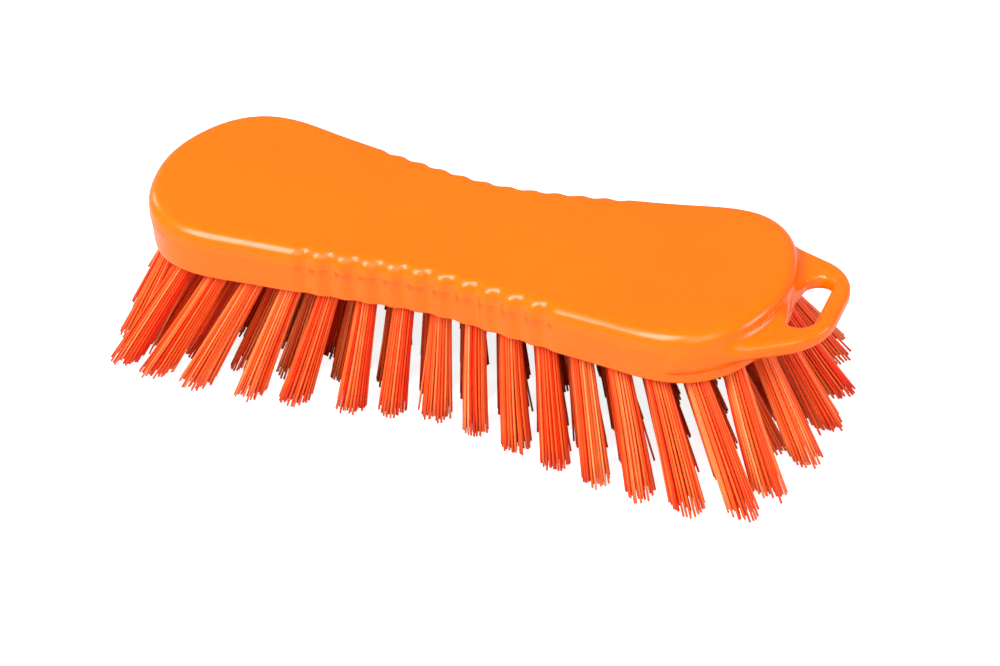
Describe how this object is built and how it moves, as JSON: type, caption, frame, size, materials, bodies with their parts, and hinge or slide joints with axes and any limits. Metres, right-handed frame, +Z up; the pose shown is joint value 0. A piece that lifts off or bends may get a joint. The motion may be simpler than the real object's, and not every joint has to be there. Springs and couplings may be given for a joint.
{
  "type": "scrubbing brush",
  "caption": "Waisted hand scrubbing brush: dished plastic block with finger flutes and a hang loop, and fanned tufts of stiff filament held by metal anchors.",
  "frame": {"origin": "on the plane of the bristle tips, under the middle of the block", "axes": "+X along the block towards the hang loop, +Y across the block, +Z up through the block's back"},
  "size_m": [0.174, 0.0746, 0.0419],
  "materials": {
    "block_plastic": "glossy injection-moulded orange plastic, slightly translucent at thin edges",
    "bristle_filament": "smooth extruded red-orange monofilament, slightly translucent",
    "anchor_metal": "flat galvanised steel strip, cut ends"
  },
  "bodies": {
    "root": {"block": "block_plastic", "anchor_strips": "anchor_metal", "tuft_row_01": "bristle_filament", "tuft_row_02": "bristle_filament", "tuft_row_03": "bristle_filament", "tuft_row_04": "bristle_filament", "tuft_row_05": "bristle_filament", "tuft_row_06": "bristle_filament", "tuft_row_07": "bristle_filament", "tuft_row_08": "bristle_filament", "tuft_row_09": "bristle_filament", "tuft_row_10": "bristle_filament", "tuft_row_11": "bristle_filament", "tuft_row_12": "bristle_filament", "tuft_row_13": "bristle_filament", "tuft_row_14": "bristle_filament", "tuft_row_15": "bristle_filament", "tuft_row_16": "bristle_filament", "tuft_row_17": "bristle_filament", "tuft_row_18": "bristle_filament", "tuft_row_19": "bristle_filament", "tuft_row_20": "bristle_filament", "tuft_row_21": "bristle_filament", "tuft_row_22": "bristle_filament", "tuft_row_23": "bristle_filament", "tuft_row_24": "bristle_filament", "tuft_row_25": "bristle_filament", "tuft_row_26": "bristle_filament", "tuft_row_27": "bristle_filament", "tuft_row_28": "bristle_filament", "tuft_row_29": "bristle_filament", "tuft_row_30": "bristle_filament", "tuft_row_31": "bristle_filament", "tuft_row_32": "bristle_filament", "tuft_row_33": "bristle_filament"}
  },
  "joints": []
}
